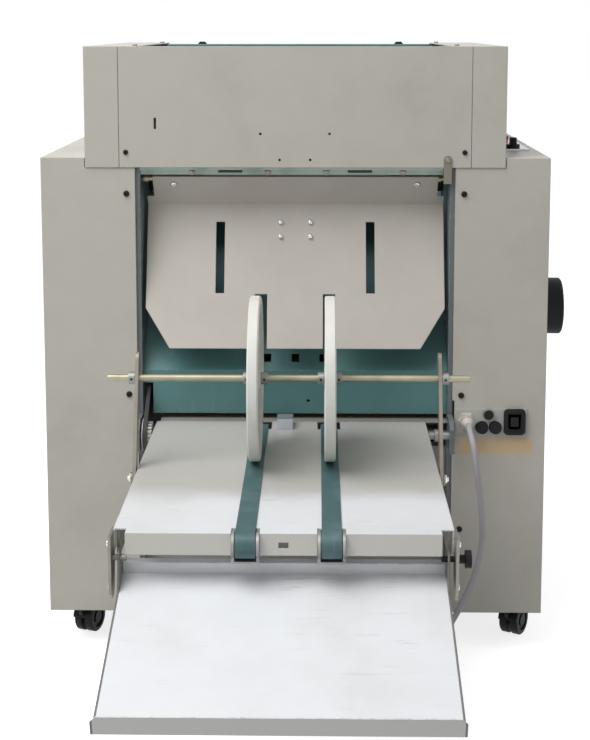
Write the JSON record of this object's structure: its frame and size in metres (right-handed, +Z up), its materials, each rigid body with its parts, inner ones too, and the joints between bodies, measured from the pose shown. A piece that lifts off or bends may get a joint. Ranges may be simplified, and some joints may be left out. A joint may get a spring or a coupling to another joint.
{
  "type": "booklet maker",
  "caption": "Floor-standing booklet maker on casters with side covers, open sheet-feed head, hinged guard plate, belt conveyor with press wheels, and a sloping delivery tray.",
  "frame": {"origin": "on the floor under the centre of the machine's box, cord left out", "axes": "+Z up, +Y from the delivery tray to the rear cover, +X to the handwheel side"},
  "size_m": [0.676, 1.0492, 0.781],
  "materials": {
    "beige_paint": "satin textured enamel",
    "grey_paint": "satin enamel",
    "cream_paint": "satin enamel",
    "white_paint": "satin enamel, worn",
    "teal_paint": "satin enamel",
    "slate_paint": "satin enamel",
    "aged_zinc": "zinc plate gone dull",
    "black_paint": "satin",
    "bright_steel": "turned and zinc plated",
    "yellow_zinc": "yellow zinc plate",
    "panel_aluminium": "satin",
    "black_plastic": "moulded",
    "white_plastic": "machined",
    "cream_plastic": "moulded",
    "red_plastic": "moulded",
    "belt_rubber": "flat conveyor belt",
    "drive_rubber": "toothed belt and roller rubber",
    "cord_rubber": "smooth sheath"
  },
  "bodies": {
    "frame": {"base_frame": "black_paint", "left_side_frame": "slate_paint", "right_side_frame": "slate_paint", "tie_bars": "bright_steel", "left_side_cover": "beige_paint", "right_side_cover": "beige_paint", "rear_cover": "beige_paint", "lower_front_cover": "grey_paint", "head_front_panel": "beige_paint", "head_caps": "beige_paint", "head_cross_plate": "teal_paint", "pocket_plate": "teal_paint", "chute_plate": "teal_paint", "exit_guide": "grey_paint", "stitch_heads": "black_paint", "hinge_strap": "aged_zinc", "guard_bar": "yellow_zinc", "power_plate": "panel_aluminium", "power_fittings": "black_plastic", "cable_gland": "cream_plastic", "control_plate": "panel_aluminium", "conveyor_deck": "white_paint", "conveyor_rails": "aged_zinc", "roller_brackets": "bright_steel", "conveyor_belts": "belt_rubber", "drive_belts": "drive_rubber", "drive_motor": "black_paint", "sensor_cover": "panel_aluminium", "tray_brackets": "aged_zinc", "mains_cord": "cord_rubber", "cord_coil": "cord_rubber", "mains_plug": "cord_rubber"},
    "knife": {"fold_knife": "bright_steel"},
    "guard": {"guard_plate": "cream_paint"},
    "main_drive": {"main_shaft": "bright_steel", "handwheel": "black_plastic"},
    "motor_drive": {"motor_pulley": "bright_steel"},
    "fold_upper": {"fold_roller_upper": "drive_rubber"},
    "fold_lower": {"fold_roller_lower": "drive_rubber"},
    "conveyor_drive": {"conveyor_shaft": "bright_steel", "conveyor_pulley": "panel_aluminium"},
    "belt_roller_left": {"front_roller_left": "bright_steel"},
    "belt_roller_right": {"front_roller_right": "bright_steel"},
    "press_frame": {"press_arms": "aged_zinc", "press_rod": "yellow_zinc", "rod_collars": "bright_steel"},
    "wheel_left": {"press_wheel_left": "white_plastic"},
    "wheel_right": {"press_wheel_right": "white_plastic"},
    "delivery_tray": {"tray": "white_paint"},
    "clamp_knob": {"tray_knob": "black_plastic"},
    "selector": {"mode_knob": "black_plastic"},
    "stop": {"stop_button": "red_plastic"},
    "swivel_front_left": {"caster_fork_front_left": "black_plastic"},
    "rollers_front_left": {"caster_wheels_front_left": "black_plastic"},
    "swivel_front_right": {"caster_fork_front_right": "black_plastic"},
    "rollers_front_right": {"caster_wheels_front_right": "black_plastic"},
    "swivel_rear_left": {"caster_fork_rear_left": "black_plastic"},
    "rollers_rear_left": {"caster_wheels_rear_left": "black_plastic"},
    "swivel_rear_right": {"caster_fork_rear_right": "black_plastic"},
    "rollers_rear_right": {"caster_wheels_rear_right": "black_plastic"}
  },
  "joints": [
    {"name": "guard_hinge", "type": "hinge", "parent": "frame", "child": "guard", "pos_m": [-0.02, 0.11456, 0.615], "axis": [-1, 0, 0], "range_deg": [0, 70]},
    {"name": "press_swing", "type": "hinge", "parent": "frame", "child": "press_frame", "pos_m": [-0.025, -0.11444, 0.295], "axis": [1, 0, 0], "range_deg": [0, 37]},
    {"name": "wheel_left_spin", "type": "hinge", "parent": "press_frame", "child": "wheel_left", "pos_m": [-0.063, -0.07744, 0.403], "axis": [1, 0, 0], "continuous": true},
    {"name": "wheel_right_spin", "type": "hinge", "parent": "press_frame", "child": "wheel_right", "pos_m": [0.023, -0.07744, 0.403], "axis": [1, 0, 0], "continuous": true},
    {"name": "main_spin", "type": "hinge", "parent": "frame", "child": "main_drive", "pos_m": [-0.02, 0.24056, 0.429], "axis": [1, 0, 0], "continuous": true},
    {"name": "fold_lower_spin", "type": "hinge", "parent": "frame", "child": "fold_lower", "pos_m": [-0.02, 0.26657, 0.52062], "axis": [1, 0, 0], "continuous": true},
    {"name": "fold_upper_spin", "type": "hinge", "parent": "frame", "child": "fold_upper", "pos_m": [-0.02, 0.29239, 0.55118], "axis": [1, 0, 0], "continuous": true},
    {"name": "conveyor_spin", "type": "hinge", "parent": "frame", "child": "conveyor_drive", "pos_m": [-0.02, 0.07056, 0.294], "axis": [1, 0, 0], "continuous": true},
    {"name": "belt_roller_left_spin", "type": "hinge", "parent": "frame", "child": "belt_roller_left", "pos_m": [-0.063, -0.32844, 0.294], "axis": [1, 0, 0], "continuous": true},
    {"name": "belt_roller_right_spin", "type": "hinge", "parent": "frame", "child": "belt_roller_right", "pos_m": [0.023, -0.32844, 0.294], "axis": [1, 0, 0], "continuous": true},
    {"name": "motor_spin", "type": "hinge", "parent": "frame", "child": "motor_drive", "pos_m": [0.18, 0.24056, 0.19], "axis": [1, 0, 0], "continuous": true},
    {"name": "knife_slide", "type": "slide", "parent": "frame", "child": "knife", "axis": [0, 0.7638, -0.6455], "range_m": [0, 0.024], "stiffness_N_per_m": 700, "springref_m": -0.03},
    {"name": "tray_tilt", "type": "hinge", "parent": "frame", "child": "delivery_tray", "pos_m": [-0.025, -0.32244, 0.278], "axis": [1, 0, 0], "range_deg": [-8, 12]},
    {"name": "clamp_turn", "type": "hinge", "parent": "frame", "child": "clamp_knob", "pos_m": [0.15, -0.32244, 0.278], "axis": [1, 0, 0], "continuous": true},
    {"name": "selector_turn", "type": "hinge", "parent": "frame", "child": "selector", "pos_m": [0.2675, 0.21956, 0.645], "axis": [0, 0, 1], "range_deg": [0, 90]},
    {"name": "stop_press", "type": "slide", "parent": "frame", "child": "stop", "axis": [0, 0, -1], "range_m": [0, 0.003], "stiffness_N_per_m": 400, "springref_m": -0.002},
    {"name": "swivel_front_left_turn", "type": "hinge", "parent": "frame", "child": "swivel_front_left", "pos_m": [-0.303, 0.13856, 0.04], "axis": [0, 0, 1], "continuous": true},
    {"name": "rollers_front_left_spin", "type": "hinge", "parent": "swivel_front_left", "child": "rollers_front_left", "pos_m": [-0.29684, 0.15547, 0.02], "axis": [-0.9397, 0.342, 0], "continuous": true},
    {"name": "swivel_front_right_turn", "type": "hinge", "parent": "frame", "child": "swivel_front_right", "pos_m": [0.263, 0.13856, 0.04], "axis": [0, 0, 1], "continuous": true},
    {"name": "rollers_front_right_spin", "type": "hinge", "parent": "swivel_front_right", "child": "rollers_front_right", "pos_m": [0.272, 0.15415, 0.02], "axis": [-0.866, 0.5, 0], "continuous": true},
    {"name": "swivel_rear_left_turn", "type": "hinge", "parent": "frame", "child": "swivel_rear_left", "pos_m": [-0.303, 0.47656, 0.04], "axis": [0, 0, 1], "continuous": true},
    {"name": "rollers_rear_left_spin", "type": "hinge", "parent": "swivel_rear_left", "child": "rollers_rear_left", "pos_m": [-0.29684, 0.49347, 0.02], "axis": [-0.9397, 0.342, 0], "continuous": true},
    {"name": "swivel_rear_right_turn", "type": "hinge", "parent": "frame", "child": "swivel_rear_right", "pos_m": [0.263, 0.47656, 0.04], "axis": [0, 0, 1], "continuous": true},
    {"name": "rollers_rear_right_spin", "type": "hinge", "parent": "swivel_rear_right", "child": "rollers_rear_right", "pos_m": [0.272, 0.49215, 0.02], "axis": [-0.866, 0.5, 0], "continuous": true}
  ],
  "couplings": [
    {"joint": "fold_lower_spin", "follows": "main_spin", "ratio": 1},
    {"joint": "fold_upper_spin", "follows": "main_spin", "ratio": -1},
    {"joint": "conveyor_spin", "follows": "main_spin", "ratio": 1},
    {"joint": "belt_roller_left_spin", "follows": "main_spin", "ratio": 1},
    {"joint": "belt_roller_right_spin", "follows": "main_spin", "ratio": 1},
    {"joint": "motor_spin", "follows": "main_spin", "ratio": 1}
  ]
}
